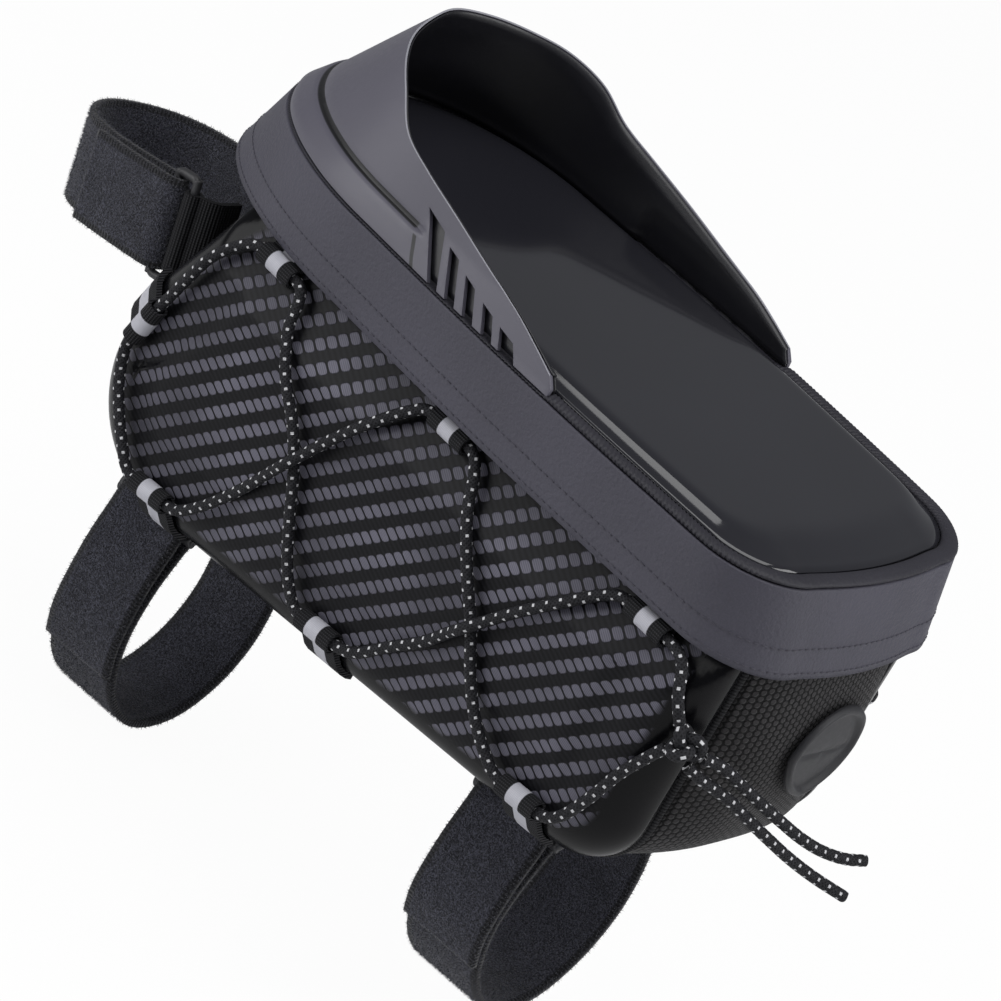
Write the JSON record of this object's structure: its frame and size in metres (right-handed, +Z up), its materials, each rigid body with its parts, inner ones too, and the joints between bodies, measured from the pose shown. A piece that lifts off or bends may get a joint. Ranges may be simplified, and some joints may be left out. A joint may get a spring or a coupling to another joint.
{
  "type": "bicycle phone bag",
  "caption": "Hard-sided bicycle frame bag with a window lid, a slotted sun visor, cord lacing on its sides, and hook-and-loop straps for the tube and stem.",
  "frame": {"origin": "centre of the sloped seat face under the bag, which rests on the bicycle's tube", "axes": "+X runs to the rear of the bag, +Y to its right side, +Z up with the lid level"},
  "size_m": [0.2986, 0.1101, 0.2221],
  "materials": {
    "moulded_shell": "woven-look moulded EVA, satin",
    "mesh_fabric": "black mesh fabric",
    "leatherette": "rubberised leatherette, matte",
    "visor_sheet": "moulded sheet, satin",
    "visor_lining": "black inner face of the visor",
    "clear_film": "clear film over a dark pocket",
    "stiff_board": "plain",
    "webbing": "ribbed woven tape",
    "hook_and_loop": "looped pile",
    "ring_plastic": "moulded",
    "cord_braid": "braided sheath with reflective flecks",
    "port_rubber": "moulded",
    "zip_metal": "dark coated"
  },
  "bodies": {
    "bag": {"shell_left": "moulded_shell", "shell_right": "moulded_shell", "gusset": "mesh_fabric", "piping_left": "webbing", "piping_right": "webbing", "base_board": "stiff_board", "opening_collar": "mesh_fabric", "zip_chain": "webbing", "hinge_flap": "mesh_fabric", "cable_port": "port_rubber", "bottom_front_strap": "hook_and_loop", "bottom_front_ring": "ring_plastic", "bottom_front_ring_tab": "webbing", "bottom_rear_strap": "hook_and_loop", "bottom_rear_ring": "ring_plastic", "bottom_rear_ring_tab": "webbing", "front_strap": "hook_and_loop", "front_ring": "ring_plastic", "front_ring_tab": "webbing", "loop_left_top_1": "webbing", "loop_left_top_2": "webbing", "loop_left_top_3": "webbing", "loop_left_bottom_1": "webbing", "loop_left_bottom_2": "webbing", "loop_left_bottom_3": "webbing", "loop_left_front": "webbing", "lacing_left": "cord_braid", "knot_left": "cord_braid", "loop_right_top_1": "webbing", "loop_right_top_2": "webbing", "loop_right_top_3": "webbing", "loop_right_bottom_1": "webbing", "loop_right_bottom_2": "webbing", "loop_right_bottom_3": "webbing", "loop_right_front": "webbing", "lacing_right": "cord_braid", "knot_right": "cord_braid", "cord_tail_upper": "cord_braid", "cord_tail_lower": "cord_braid"},
    "lid": {"lid_skirt": "leatherette", "rim_bead": "leatherette", "lid_frame": "stiff_board", "window_film": "clear_film", "pocket_panel": "mesh_fabric", "lid_tape": "webbing", "sun_visor": "visor_sheet", "visor_liner": "visor_lining"},
    "slider": {"zip_slider": "zip_metal"},
    "pull": {"zip_pull": "zip_metal"}
  },
  "joints": [
    {"name": "lid_hinge", "type": "hinge", "parent": "bag", "child": "lid", "pos_m": [-0.109, 0, 0.0805], "axis": [0, -1, 0], "range_deg": [0, 100]},
    {"name": "zip_slide", "type": "slide", "parent": "bag", "child": "slider", "axis": [1, 0, 0], "range_m": [0, 0.12]},
    {"name": "pull_swing", "type": "hinge", "parent": "slider", "child": "pull", "pos_m": [-0.048, 0.0371, 0.0872], "axis": [0, 1, 0], "range_deg": [-5, 8]}
  ]
}
